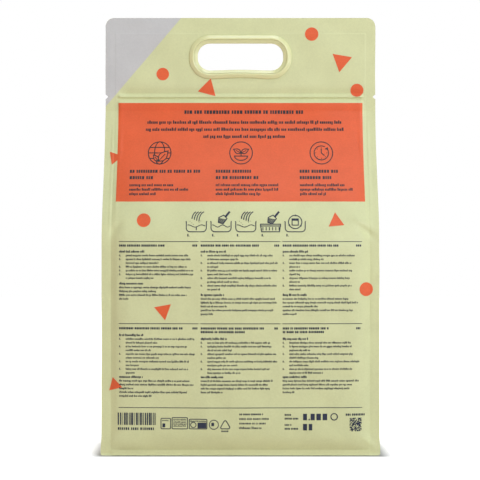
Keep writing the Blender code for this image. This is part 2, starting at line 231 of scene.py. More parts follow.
class BagForm:
    """The film's surface as formulas, from the panel's sizes. They take and give numpy arrays."""

    fin_round = 0.2  # how softly the side seals turn at the shoulder
    panel_round = 0.5  # and the middle of a panel, which the litter holds out
    gusset_opens = 0.65  # the gusset opens out from this share of the full depth
    bulge_edge = 0.020  # a panel bulges this soon beside a seal
    beside_share = 0.45  # with this share of its bulge, and the rest over its whole width
    base_bulge_edge = 0.028  # it bulges this soon above the skirt
    corner_pinch = 0.58  # and sooner by this share in the lower corners
    corner_reach = 0.026
    low_bulge = 0.7  # the bulge's share near the base, where the litter spreads
    low_bulge_top = 0.02
    low_bulge_run = 0.09
    gusset_foot = 0.036  # a gusset bulges over this height
    flare_height = 0.013
    sag_run = 0.012  # the base film's run from the skirt to the ground
    # each rib's top edge over the closure's middle, its width, its height, and the share of its
    # width over which it falls back below its crest
    rib_shapes = ((0.0057, 0.0052, 0.0021, 0.29), (-0.0004, 0.0250, 0.0020, 0.85))
    rib_margin = 0.002  # from the closure's ends to the side seals
    rib_end = 0.0036  # a rib rises over this length at each end
    ribs_reach = 0.0106  # the film bends sharply down to here, below the closure's middle
    # the dip above the closure: depth, height over the closure's middle and half width
    groove = (0.0023, 0.0040, 0.0042)
    skirt_lift = 0.0005  # the skirt ends just short of the ground, and the base film reaches it
    top_seal = 0.0137  # height of the band that seals the header's top edge
    pressed = 0.00016  # the jaws leave the sealed bands this much flatter
    pressed_edge = 0.0014  # the film rises from them over this width
    lip = 0.0009  # the skirt's edge turns out by this
    lip_height = 0.0015
    crease = 0.0006  # depth of the fold that stays down the middle of a gusset
    crease_width = 0.0013
    streaks_base = 0.196  # the taper gathers the side seals above this
    filled_base = 0.014  # the litter presses the panels out between these
    filled_top = 0.209
    # layers of unevenness: height, length across, length up and seed
    panel_lumps = (
        (0.00028, 0.034, 0.030, 3),
        (0.00010, 0.013, 0.015, 4),
        (0.0007, 0.085, 0.075, 10),
    )
    gusset_lumps = ((0.0006, 0.030, 0.036, 7), (0.0002, 0.012, 0.016, 8))
    header_lumps = ((0.00075, 0.075, 0.050, 9),)
    # the dents that show, at the shoulder's ends and in the lower corners: place, depth, half
    # length, half width and slant in radians
    dent_shapes = (
        (-0.1125, 0.2035, -0.0016, 0.009, 0.0035, 0.9),
        (0.1130, 0.2020, -0.0020, 0.009, 0.0030, -0.65),
        (0.1070, 0.2110, 0.0009, 0.008, 0.0030, -0.5),
        (-0.1150, 0.0130, 0.0011, 0.008, 0.0030, 0.75),
        (0.1150, 0.0130, 0.0011, 0.008, 0.0030, -0.75),
        (-0.0600, 0.2180, -0.0004, 0.020, 0.0060, 0.2),
        (0.0500, 0.2240, -0.0004, 0.024, 0.0060, -0.15),
    )

    def __init__(self, scene):
        bag = scene.bag_sizes
        for name in ("height", "base_seal", "shoulder", "bulge", "gusset_bulge", "corner", "crumple"):
            setattr(self, name, getattr(bag, name))
        self.half_width = bag.width / 2
        self.half_gusset = bag.gusset / 2
        self.half_depth = bag.depth / 2
        self.seal = 2 * bag.film
        self.fin_x = self.half_width - bag.side_seal
        self.taper_top = bag.height - bag.header
        self.zip_z = bag.height - bag.zip_drop
        self.notch_z = bag.height - bag.notch_drop
        self.grip_z = bag.height - bag.grip_drop

    def inwards(self, x):
        """How far x lies inside the side seals."""
        return self.fin_x - np.abs(x)

    def fullness(self, z, softness=fin_round):
        """0 in the flat header, 1 where the bag has its whole depth."""
        down = np.maximum(0.0, (self.taper_top - z) / (self.taper_top - self.shoulder))
        value = down * (1 + down) / 2
        near = np.clip(0.5 + 0.5 * (1 - value) / softness, 0.0, 1.0)
        return 1 + (value - 1) * near - softness * near * (1 - near)

    def fin_depth(self, z):
        """How far the middle of a side seal lies from the bag's middle plane."""
        lip = self.lip * (1 - smooth((z - self.skirt_lift) / self.lip_height))
        return self.seal / 2 + self.fullness(z) * (self.half_depth - self.seal / 2) + lip

    def outer(self, z):
        return self.fin_depth(z) + self.seal / 2

    def inner(self, z):
        return self.fin_depth(z) - self.seal / 2

    def tip_x(self, z):
        return self.half_width + FOOT_FLARE * (1 - smooth((z - self.base_seal) / self.flare_height))

    def ribs(self, x, z):
        """The closure's two ribs, seen through the film. Below the lower one the film falls back slowly."""
        along = smooth((self.fin_x - self.rib_margin - np.abs(x)) / self.rib_end)
        relief = 0.0
        for top, width, height, crest in self.rib_shapes:
            down = (self.zip_z + top - z) / width
            relief = relief + height * smooth(down / (1 - crest)) * smooth((1 - down) / crest)
        return relief * along

    def panel_y(self, x, z):
        """How far the panel's outside lies from the bag's middle plane."""
        inside = self.inwards(x)
        inward = np.clip(inside / self.fin_x, 0, 1)
        beside = np.clip(inside / self.bulge_edge, 0, 1)
        share = self.beside_share
        across = share * (1 - (1 - beside) ** 2.5) + (1 - share) * (1 - (1 - inward) ** 2)
        pinch = self.corner_pinch * np.exp(-((inside / self.corner_reach) ** 2))
        foot = self.base_bulge_edge * (1 - pinch)
        rise = 1 - (1 - np.clip((z - self.base_seal) / foot, 0, 1)) ** 3
        grown = smooth((z - self.low_bulge_top) / self.low_bulge_run)
        rise = rise * (self.low_bulge + (1 - self.low_bulge) * grown)
        middle = (self.half_depth + self.bulge) * self.fullness(z, self.panel_round)
        bulge = (middle - self.half_depth * self.fullness(z)) * across * rise
        below_band = smooth((self.height - self.top_seal - z) / self.pressed_edge)
        unpressed = smooth(inside / self.pressed_edge) * below_band
        return self.outer(z) + bulge + self.ribs(x, z) + self.pressed * unpressed

    def gusset(self, v, z):
        """Points of the gusset's quarter: v is 0 at the seal and 1 at the crease."""
        inner = self.inner(z)
        folded = np.sqrt(self.half_gusset**2 - np.minimum(self.fin_depth(z), self.half_gusset) ** 2)
        filled = smooth((self.fullness(z) - self.gusset_opens) / (1 - self.gusset_opens))
        rise = self.fullness(z) ** 4 * smooth((z - self.base_seal) / self.gusset_foot)
        x = self.fin_x - folded * (1 - filled) * v + self.gusset_bulge * rise * (1 - (1 - v) ** 2)
        x = x - self.crease * rise * np.exp(-((inner * (1 - v) / self.crease_width) ** 2))
        return grid(x, -inner * (1 - v), z)

    def print_point(self, x, z, layer):
        """A point of the printed back panel, as many inks up as the layer says."""
        points = self.settle(grid(x, -self.panel_y(x, z), z))
        points[..., 1] -= INK_LIFT * layer
        return points

    def settle(self, points):
        """Moves points of the even form to where handled film lies, with its dents and puckers.

        Each part of the film has its mask, which fades to 0 over the length that it is divided by.
        """
        x, y, z = points[..., 0], points[..., 1], points[..., 2]
        side = np.sign(y) * smooth(np.abs(y) / 0.010)
        left_right = np.sign(x)
        full = self.fullness(z)
        above_foot = smooth((z - self.base_seal) / 0.012)
        in_fin = smooth((np.abs(x) - self.fin_x + 0.003) / 0.006)
        on_panel = smooth(self.inwards(x) / 0.014)
        facing_side = smooth((self.fin_depth(z) - np.abs(y)) / 0.012) * smooth((np.abs(x) - 0.100) / 0.010)
        in_header = 1 - smooth(full * 6)
        from_grip = np.hypot(np.maximum(np.abs(x) - 0.030, 0), z - self.grip_z)
        off_grip = smooth((from_grip - 0.021) / 0.02)

        dy = side * lumps(x, z, self.panel_lumps) * on_panel * above_foot * full
        pucker = 0.00045 * wave(left_right * 0.7 + x / 0.05, z / 0.028, 5)
        dy += side * pucker * in_fin * above_foot * smooth((z - 0.012) / 0.03)
        dy += side * self.streaks(x, z) + side * self.dents(x, z)
        dy += lumps(x, z, self.header_lumps) * in_header * off_grip
        depth, height, half = self.groove
        dy += depth * np.exp(-(((z - self.zip_z - height) / half) ** 2)) * on_panel * off_grip
        dx = left_right * 0.00018 * wave(left_right * 0.4 + y / 0.04, z / 0.05, 6) * in_fin * above_foot
        dx += left_right * lumps(y, z, self.gusset_lumps) * facing_side * above_foot * full**3
        moved = points.copy()
        moved[..., 0] += self.crumple * dx
        moved[..., 1] += self.crumple * dy
        return moved

    def streaks(self, x, z):
        """Pulls in the film along the side seals, where the taper gathers it."""
        window = smooth((z - self.streaks_base) / 0.02) * smooth((self.taper_top + 0.004 - z) / 0.012)
        out = np.abs(x) - self.fin_x
        band = np.exp(-(((out - 0.0012) / 0.0011) ** 2))
        second = np.exp(-(((out + 0.0050 + 0.03 * (z - 0.26)) / 0.0016) ** 2))
        uneven = 1 + 0.6 * wave(x * 0, z / 0.03, 12)
        pulls = (0.00045 * band + 0.00030 * second * uneven) * window
        filled = smooth((self.filled_top - z) / 0.007) * smooth((z - self.filled_base) / 0.012)
        return pulls - 0.00045 * np.exp(-(((out + 0.0020) / 0.0022) ** 2)) * filled

    def dents(self, x, z):
        found = 0.0
        for at_x, at_z, deep, long, short, turn in self.dent_shapes:
            along = (x - at_x) * math.cos(turn) + (z - at_z) * math.sin(turn)
            across = (z - at_z) * math.cos(turn) - (x - at_x) * math.sin(turn)
            found = found + deep * np.exp(-((along / long) ** 2) - (across / short) ** 2)
        return found


# Meshes


def new_object(name, mesh, material, smooth_angle=None):
    mesh.materials.append(material)
    if smooth_angle:
        mesh.shade_smooth()
        mesh.set_sharp_from_angle(angle=math.radians(smooth_angle))
    made = bpy.data.objects.new(name, mesh)
    bpy.context.scene.collection.objects.link(made)
    return made


def dress(piece):
    """The piece rides with the bag."""
    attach(piece, "root")
    return piece


def mesh_of_grids(name, grids):
    """One mesh of grids of points, joined where their points meet."""
    points = np.concatenate([part.reshape(-1, 3) for part in grids])
    _, first, index = np.unique(
        np.round(points / MERGE).astype(np.int64), axis=0, return_index=True, return_inverse=True
    )
    index = index.reshape(-1)
    faces = []
    start = 0
    for part in grids:
        rows, columns = part.shape[:2]
        place = index[start + np.arange(rows * columns)].reshape(rows, columns)
        start += rows * columns
        corners = np.stack([place[:-1, :-1], place[:-1, 1:], place[1:, 1:], place[1:, :-1]], axis=-1)
        faces.extend(corners.reshape(-1, 4).tolist())
    kept = [list(dict.fromkeys(face)) for face in faces]
    mesh = bpy.data.meshes.new(name)
    mesh.from_pydata(points[first].tolist(), [], [face for face in kept if len(face) > 2])
    return mesh


def quarter_grids(form, columns, rows, shares):
    """The quarter of the pouch at +X and -Y, as grids of points."""
    fin = steps(0, 1, 10)
    low, top = rows[0], rows[-1]
    slot_rows = rows[rows <= form.taper_top + MERGE]

    def fin_x(z):
        return form.fin_x + (form.tip_x(z) - form.fin_x) * fin

    def inner(z):
        return np.where(z < form.taper_top - MERGE, form.inner(z), 0.0)

    column_x, row_z = np.meshgrid(columns, rows)
    tall = rows[:, None]
    slot = slot_rows[:, None]
    edge = np.concatenate([form.outer(tall), inner(tall)], axis=1)
    gusset = form.gusset(shares, slot)
    gusset[slot_rows >= form.taper_top - MERGE, :, 1] = 0
    across = np.concatenate([columns, fin_x(top)[1:]])
    grids = [
        grid(column_x, -form.panel_y(column_x, row_z), row_z),
        grid(fin_x(tall), -form.outer(tall), tall),
        grid(form.tip_x(tall), -edge, tall),
        grid(fin_x(slot), -inner(slot), slot),
        gusset,
        grid(across, -np.array([[form.outer(top)], [0.0]]), top),
    ]
    return grids + base_grids(form, columns, fin_x(low), shares, low)


def base_grids(form, columns, fin_x, shares, low):
    """The skirt's lower edge, its inner wall and the base film that sags to the ground."""
    outer = form.panel_y(columns, low)
    inner = form.inner(low)
    side = form.gusset(shares, low)
    inset = side - [form.seal, 0, 0]
    inside = columns[:-1]
    levels = np.array([[low], [form.base_seal]])
    film_x = inset[:, :1] / inside[-1] * inside
    film_y = np.broadcast_to(inset[:, 1:2], film_x.shape)
    inward = np.minimum(inset[:, :1] - film_x, inner + film_y)
    film_z = form.base_seal * (1 - np.clip(inward / form.sag_run, 0, 1)) ** 2
    return [
        grid(columns, -np.stack([outer, np.full_like(outer, inner)]), low),
        grid(fin_x, -np.array([[inner + form.seal], [inner]]), low),
        np.stack([side, inset]),
        grid(inside, -inner, levels),
        np.stack([inset, inset + [0, 0, form.base_seal - low]]),
        grid(film_x, film_y, film_z),
    ]


def film_rows(form):
    """Heights of the fine mesh's rows, closest where the film bends most."""
    foot, shoulder, neck = 0.022, 0.190, 0.245  # where the film's curve changes
    seal_base = form.height - form.top_seal
    return spaced(
        form.height,
        (form.skirt_lift, 0.0003),
        (form.skirt_lift + form.lip_height, 0.0010),
        (form.base_seal, 0.0012),
        (foot, 0.0028),
        (shoulder, 0.0018),
        (neck, 0.0022),
        (form.taper_top, 0.0016),
        (form.zip_z - form.ribs_reach, 0.00040),
        (form.zip_z + form.rib_shapes[0][0], 0.0028),
        (seal_base - 0.0016, 0.0004),
        (seal_base, 0.0028),
    )


def film_columns(form):
    """Places of the fine mesh's columns, closest beside the side seal."""
    return spaced(
        form.fin_x,
        (0, 0.0026),
        (form.fin_x - 0.016, 0.0010),
        (form.fin_x - 0.0016, 0.0004),
        (form.fin_x - form.seal, form.seal),
    )


@contextmanager
def opened(mesh):
    """The mesh as a bmesh, written back afterwards."""
    bm = bmesh.new()
    bm.from_mesh(mesh)
    yield bm
    bm.to_mesh(mesh)
    bm.free()


def face_outwards(mesh):
    with opened(mesh) as bm:
        bmesh.ops.recalc_face_normals(bm, faces=bm.faces)


def die_cutter(name, outlines, reach):
    """Outlines in (x, z), each as a closed prism that runs through the bag from front to back."""
    bm = bmesh.new()
    for outline in outlines:
        ends = [[bm.verts.new((x, y, z)) for x, z in outline] for y in (-reach, reach)]
        bm.faces.new(ends[0])
        bm.faces.new(reversed(ends[1]))
        for i, near in enumerate(ends[0]):
            j = (i + 1) % len(outline)
            bm.faces.new((ends[0][j], near, ends[1][i], ends[1][j]))
    bmesh.ops.recalc_face_normals(bm, faces=bm.faces)
    mesh = bpy.data.meshes.new(name)
    bm.to_mesh(mesh)
    bm.free()
    return bpy.data.objects.new(name, mesh)


def arc(centre_x, centre_z, radius, start, end, count):
    """Points on an arc, in degrees from +X towards +Z."""
    return [
        (centre_x + radius * math.cos(a), centre_z + radius * math.sin(a))
        for a in np.radians(np.linspace(start, end, count + 1))
    ]


def notch_points(form, side):
    """A tear notch's outline with its rounded tip, from its lower mouth to its upper one."""
    tip = 0.0006
    clear = 0.004
    root = form.half_width - NOTCH_DEPTH + tip
    mouth = form.half_width + clear
    flare = NOTCH_HALF * (NOTCH_DEPTH + clear) / NOTCH_DEPTH
    points = [(mouth, -flare), *arc(root, 0, tip, -120, -240, 6), (mouth, flare)]
    return [(side * x, z + form.notch_z) for x, z in points]


def corner_points(side, edge_x, edge_z, up, radius):
    """What the die takes off a corner."""
    centre_x = edge_x - radius
    centre_z = edge_z - up * radius
    bend = arc(centre_x, 0, radius, 0, 90, 14)
    clear = 0.02
    outside = [
        (centre_x, edge_z + up * clear),
        (edge_x + clear, edge_z + up * clear),
        (edge_x + clear, centre_z),
    ]
    return [(side * x, z) for x, z in [*((x, centre_z + up * z) for x, z in bend), *outside]]


def evaluated_mesh(source, name):
    bpy.context.view_layer.update()
    evaluated = source.evaluated_get(bpy.context.evaluated_depsgraph_get())
    mesh = bpy.data.meshes.new_from_object(evaluated)
    mesh.name = name
    return mesh


def remove(*objects):
    for found in objects:
        bpy.data.objects.remove(found)


# Materials


def add_node(tree, kind, links=None, **settings):
    """Adds a node. A setting named for an attribute sets it, and any other sets the socket."""
    node = tree.nodes.new("ShaderNode" + kind)
    for name, value in settings.items():
        if hasattr(node, name):
            setattr(node, name, value)
        else:
            node.inputs[name.replace("_", " ")].default_value = value
    for socket, source in (links or {}).items():
        tree.links.new(source, node.inputs[socket])
    return node


def new_material(name):
    """A material whose tree holds only its output, and that tree."""
    material = bpy.data.materials.new(name)
    material.use_nodes = True
    tree = material.node_tree
    tree.nodes.clear()
    return material, tree


def finish_material(tree, shader):
    add_node(tree, "OutputMaterial", {"Surface": shader.outputs[0]})


MATT_SKIN = {"Roughness": 0.45, "IOR": 1.49, "Specular_IOR_Level": 0.30}  # stretched polypropylene


def printed_film(name, code, depth=1.0):
    """Matt laminate: a biaxially stretched polypropylene skin over ink.

    Matting gives it a soft, paper-like sheen with no clear reflections. Laminating leaves a fine
    orange peel, here 1.4 mm across, and the ink lies a little unevenly, in clouds about 20 mm wide.
    """
    material, tree = new_material(name)
    place = {"Vector": add_node(tree, "TexCoord").outputs["Object"]}
    peel = add_node(tree, "TexNoise", place, Scale=1 / 0.0014, Detail=2.0, Roughness=0.6)
    clouds = add_node(tree, "TexNoise", place, Scale=1 / 0.020, Detail=3.0, Roughness=0.55)
    both = {0: peel.outputs["Fac"], 1: clouds.outputs["Fac"]}
    tone = add_node(tree, "Math", both, operation="ADD")
    level = add_node(tree, "MapRange", {"Value": tone.outputs[0]}, From_Min=0.6, From_Max=1.4)
    mixed = add_node(tree, "Mix", {"Factor": level.outputs[0]}, data_type="RGBA")
    base = linear(code)[:3]
    spread = 0.055 * depth  # how unevenly the ink lies
    mixed.inputs[6].default_value = (*(c * (1 - spread) for c in base), 1)
    mixed.inputs[7].default_value = (*(min(1, c * (1 + spread)) for c in base), 1)
    bump = add_node(tree, "Bump", {"Height": peel.outputs["Fac"]}, Strength=0.35, Distance=0.00012)
    links = {"Base Color": mixed.outputs[2], "Normal": bump.outputs[0]}
    finish_material(tree, add_node(tree, "BsdfPrincipled", links, **MATT_SKIN))
    return material


def plain_ink(name, code):
    """Reverse-printed ink under the matt skin: flat colour with the film's own soft sheen."""
    material, tree = new_material(name)
    shader = add_node(tree, "BsdfPrincipled", Base_Color=linear(code), **MATT_SKIN)
    finish_material(tree, shader)
    return material


def moulded_polyethylene(name, code):
    """Low-density polyethylene from a fine-eroded mould: satin, a little waxy, light sinks into it."""
    material, tree = new_material(name)
    place = {"Vector": add_node(tree, "TexCoord").outputs["Object"]}
    grain = add_node(tree, "TexNoise", place, Scale=1 / 0.0009, Detail=2.0)
    bump = add_node(tree, "Bump", {"Height": grain.outputs["Fac"]}, Strength=0.25, Distance=0.00006)
    shader = add_node(
        tree,
        "BsdfPrincipled",
        {"Normal": bump.outputs[0]},
        Base_Color=linear(code),
        Roughness=0.28,
        IOR=1.51,
        Specular_IOR_Level=0.7,
        Subsurface_Weight=0.12,
        Subsurface_Radius=(0.0012, 0.0010, 0.0006),
        Subsurface_Scale=1.0,
    )
    finish_material(tree, shader)
    return material


# Print


def lay_print(name, form, cells, material, layer=1):
    """Lays flat cells of print, each a list of (x, z) corners, on the back panel's film."""
    flat = np.array([corner for cell in cells for corner in cell])
    ends = np.cumsum([len(cell) for cell in cells])
    faces = [range(end - len(cell), end) for cell, end in zip(cells, ends)]
    mesh = bpy.data.meshes.new(name)
    mesh.from_pydata(form.print_point(flat[:, 0], flat[:, 1], layer).tolist(), [], faces)
    with opened(mesh) as bm:
        bmesh.ops.remove_doubles(bm, verts=bm.verts, dist=1e-5)
        for face in bm.faces:
            if face.normal.y > 0:
                face.normal_flip()
    return dress(new_object(name, mesh, material, smooth_angle=60))


def block(x0, x1, z0, z1):
    """A rectangle of print, in cells short enough to follow the film."""
    xs, zs = (
        steps(low, high, max(1, math.ceil(abs(high - low) / PRINT_CELL)))
        for low, high in ((x0, x1), (z0, z1))
    )
    return [
        [(a, low), (b, low), (b, high), (a, high)]
        for a, b in zip(xs, xs[1:])
        for low, high in zip(zs, zs[1:])
    ]


def ribbon(points, width, closed=False):
    """A line of print of this width through the points, with mitred corners."""
    points = split(points, closed)
    count = len(points)
    left, right = [], []
    for i, (x, z) in enumerate(points):
        before = points[i - 1] if closed or i else points[0]
        after = points[(i + 1) % count] if closed or i < count - 1 else points[-1]
        into = Vector((x - before[0], z - before[1]))
        out = Vector((after[0] - x, after[1] - z))
        into = into.normalized() if into.length > 1e-9 else out.normalized()
        out = out.normalized() if out.length > 1e-9 else into
        middle = (into + out).normalized()
        across = Vector((-middle.y, middle.x)) * width / 2 / max(0.5, middle.dot(out))
        left.append((x + across.x, z + across.y))
        right.append((x - across.x, z - across.y))
    last = count if closed else count - 1
    return [[left[i], left[(i + 1) % count], right[(i + 1) % count], right[i]] for i in range(last)]


def split(points, closed):
    """The same line with more points, close enough together to follow the film."""
    fine = []
    for a, b in zip(points, [*points[1:], points[0]]):
        parts = max(1, math.ceil(math.dist(a, b) / PRINT_CELL))
        fine += [tuple(Vector(a).lerp(Vector(b), i / parts)) for i in range(parts)]
    if not closed:
        del fine[len(fine) - max(1, math.ceil(math.dist(points[-1], points[0]) / PRINT_CELL)) + 1 :]
    return fine


def patch(form, outline):
    """A solid shape of print, cut along the film's own rows and columns so that it follows them."""
    bm = bmesh.new()
    bm.faces.new([bm.verts.new((x, 0, z)) for x, z in outline])
    bm.normal_update()
    bmesh.ops.triangulate(bm, faces=bm.faces, ngon_method="EAR_CLIP")
    xs, zs = zip(*outline)
    half = film_columns(form)
    fins = form.fin_x + (form.half_width - form.fin_x) * steps(0, 1, 10)
    columns = np.concatenate([-half, half, -fins, fins])
    for x in columns[(columns > min(xs)) & (columns < max(xs))]:
        cut_all(bm, (x, 0, 0), (1, 0, 0))
    rows = film_rows(form)
    for z in rows[(rows > min(zs)) & (rows < max(zs))]:
        cut_all(bm, (0, 0, z), (0, 0, 1))
    cells = [[(v.co.x, v.co.z) for v in face.verts] for face in bm.faces]
    bm.free()
    return cells


def cut_all(bm, point, normal):
    parts = [*bm.verts, *bm.edges, *bm.faces]
    bmesh.ops.bisect_plane(bm, geom=parts, plane_co=point, plane_no=normal, dist=1e-7)


class Words:
    """Draws rows of plain marks with the rhythm of words. They spell nothing."""

    def __init__(self, seed):
        self.draw = np.random.default_rng(seed)

    def rag(self, lines):
        """Shares of the full width: long lines, and a short last one where there are several."""
        long = self.draw.uniform(0.84, 0.97, lines)
        if lines > 1:
            long[-1] = self.draw.uniform(0.12, 0.5)
        return long

    def row(self, x0, x1, z, height, bold=False, capitals=False):
        """Marks from x0 to x1 on the baseline z. Small ones rise above the rest or hang below it."""
        cells = []
        x = x0
        pitch = height * (0.86 if capitals else 0.80)
        gap = pitch * (0.26 if bold else 0.34)
        while x < x1 - pitch:
            for _ in range(self.draw.integers(2, 10)):
                wide = pitch * self.draw.uniform(0.42, 0.74) * (1.18 if bold else 1)
                if x + wide > x1:
                    break
                low, tall = z, height
                kind = self.draw.random()
                if not capitals and kind < 0.24:
                    tall = height * 1.4
                elif not capitals and kind > 0.90:
                    low = z - height * 0.35
                    tall = height * 1.35
                cells += block(x, x + wide, low, low + tall)
                x += wide + gap
            x += pitch * 0.55
        return cells


def column_text(words, sizes, left, top, heads, items, paragraphs, gaps):
    """One column of text from the rule at its top: heads, numbered items, a short head, paragraphs.

    An item or a paragraph is its number of lines, and its last line is short. The gaps are from the
    rule down to the heads, and in rows from the heads to the items and from the items to the paragraphs.
    """
    x_height = sizes.x_height
    pitch = sizes.row_pitch
    wide = sizes.column
    start = left + 0.0004
    indent = 0.0064  # of an item's lines
    tag = 0.0054  # width of the mark at the column's right end
    capital = x_height * 1.5
    head_pitch = 0.97
    z = top - gaps[0]
    cells = words.row(left + wide - tag, left + wide, z, capital, True, True)
    for share in heads:
        cells += words.row(start, left + wide * share, z, capital, True, True)
        z -= pitch * head_pitch
    z = top - 0.0045 - pitch * (head_pitch * len(heads) + gaps[1])
    cells += words.row(start, left + wide * 0.33, z, x_height * 1.15, True)
    for lines in items:
        z -= pitch
        cells += block(start, start + 0.0007, z, z + x_height * 1.3)
        cells += block(start + 0.0011, start + 0.0015, z, z + 0.0004)
        for share in words.rag(lines):
            cells += words.row(left + indent, left + indent + (wide - indent) * share, z, x_height)
            z -= pitch
        z += pitch
    z -= pitch * (1 + gaps[2])
    cells += words.row(start, left + wide * 0.31, z, x_height * 1.15, True)
    for lines in paragraphs:
        for share in words.rag(lines):
            z -= pitch * 1.01
            cells += words.row(start, left + wide * share, z, x_height)
    return cells


# Operators


class BAG_OT_film(bpy.types.Operator):
    """Makes the filled pouch of matt film, with its gussets, seals, closure and base"""

    bl_idname = "litter_bag.film"
    bl_label = "Filled Pouch"

    def execute(self, context):
        form = BagForm(context.scene)
        shares = spaced(1, (0, 0.04), (0.90, 0.01))
        quarter = quarter_grids(form, film_columns(form), film_rows(form), shares)
        mirrors = np.array([(1, 1, 1), (-1, 1, 1), (1, -1, 1), (-1, -1, 1)])
        mesh = mesh_of_grids("film", [part * mirror for mirror in mirrors for part in quarter])
        face_outwards(mesh)
        points = np.empty(len(mesh.vertices) * 3)
        mesh.vertices.foreach_get("co", points)
        mesh.vertices.foreach_set("co", form.settle(points.reshape(-1, 3)).ravel())
        uncut = bpy.data.objects.new("uncut_film", mesh)
        context.scene.collection.objects.link(uncut)
        grip = context.scene.grip_sizes
        header = [grip_outline(grip, grip.collar + FIT_GAP, form.grip_z)]
        foot = []
        foot_x = float(form.tip_x(form.skirt_lift))
        for side in (-1, 1):
            header.append(corner_points(side, form.half_width, form.height, 1, form.corner))
            header.append(notch_points(form, side))
            foot.append(corner_points(side, foot_x, form.skirt_lift, -1, FOOT_CORNER))
        past_film = 0.035
        cutters = [
            die_cutter("header_die", header, 0.01),
            die_cutter("foot_die", foot, form.half_depth + past_film),
        ]
        for cutter in cutters:
            context.scene.collection.objects.link(cutter)
            modifier = uncut.modifiers.new(cutter.name, "BOOLEAN")
            modifier.operation = "DIFFERENCE"
            modifier.solver = "EXACT"
            modifier.object = cutter
        cut = evaluated_mesh(uncut, "film")
        remove(uncut, *cutters)
        green = printed_film("matt_laminate_film", context.scene.bag_colours.film)
        film = dress(new_object("film", cut, green, smooth_angle=38))
        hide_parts("pouch")
        return {"FINISHED"}


class BAG_OT_fields(bpy.types.Operator):
    """Prints the orange field and the grey corner"""

    bl_idname = "litter_bag.fields"
    bl_label = "Fields of Colour"

    def execute(self, context):
        form = BagForm(context.scene)
        sizes = context.scene.print_sizes
        colours = context.scene.bag_colours
        half = form.fin_x - sizes.margin
        low, high = sizes.field_base, form.height - sizes.field_drop
        outline = [(-half, low), (half, low), (half, high), (-half, high)]
        orange = printed_film("orange_ink_under_film", colours.orange, 1.5)
        lay_print("orange_field", form, patch(form, outline), orange)
        edge = form.half_width - INK_LIFT
        top = form.height - INK_LIFT
        bend = form.corner
        notch = [(x, z) for x, z in reversed(notch_points(form, -1)) if x > -edge]
        outline = [
            (sizes.grey_along - form.half_width, top),
            *arc(bend - edge, top - bend, bend, 90, 180, 14),
            (-edge, form.notch_z + NOTCH_HALF),
            *notch,
            (-edge, form.notch_z - NOTCH_HALF),
            (-edge, form.height - sizes.grey_down),
        ]
        grey = printed_film("grey_ink_under_film", colours.grey, 0.9)
        lay_print("grey_corner", form, patch(form, outline), grey)
        return {"FINISHED"}


class BAG_OT_motifs(bpy.types.Operator):
    """Scatters plain orange triangles and discs"""

    bl_idname = "litter_bag.motifs"
    bl_label = "Scattered Motifs"

    def execute(self, context):
        form = BagForm(context.scene)
        cells = []
        disc = 40
        # place, radius, count of corners and turn
        for x, z, radius, corners, turn in (
            (0.0935, 0.3600, 0.0105, 3, 20),
            (0.0660, 0.3850, 0.0062, disc, 0),
            (-0.0300, 0.3345, 0.0098, 3, 75),
            (-0.0720, 0.3480, 0.0058, disc, 0),
            (0.1080, 0.3330, 0.0060, disc, 0),
            (-0.1155, 0.2700, 0.0072, 3, 10),
            (0.0860, 0.2110, 0.0082, 3, -25),
            (-0.0870, 0.2120, 0.0062, disc, 0),
            (0.1130, 0.1500, 0.0062, disc, 0),
            (-0.0690, 0.1310, 0.0088, 3, 40),
            (-0.1130, 0.0640, 0.0072, 3, -15),
        ):
            corner = [math.radians(turn + 360 * i / corners) for i in range(corners)]
            cells += patch(form, [(x + radius * math.cos(a), z + radius * math.sin(a)) for a in corner])
        ink = printed_film("orange_ink_of_motifs", context.scene.bag_colours.orange, 1.5)
        lay_print("orange_motifs", form, cells, ink, MOTIF_LAYER)
        return {"FINISHED"}


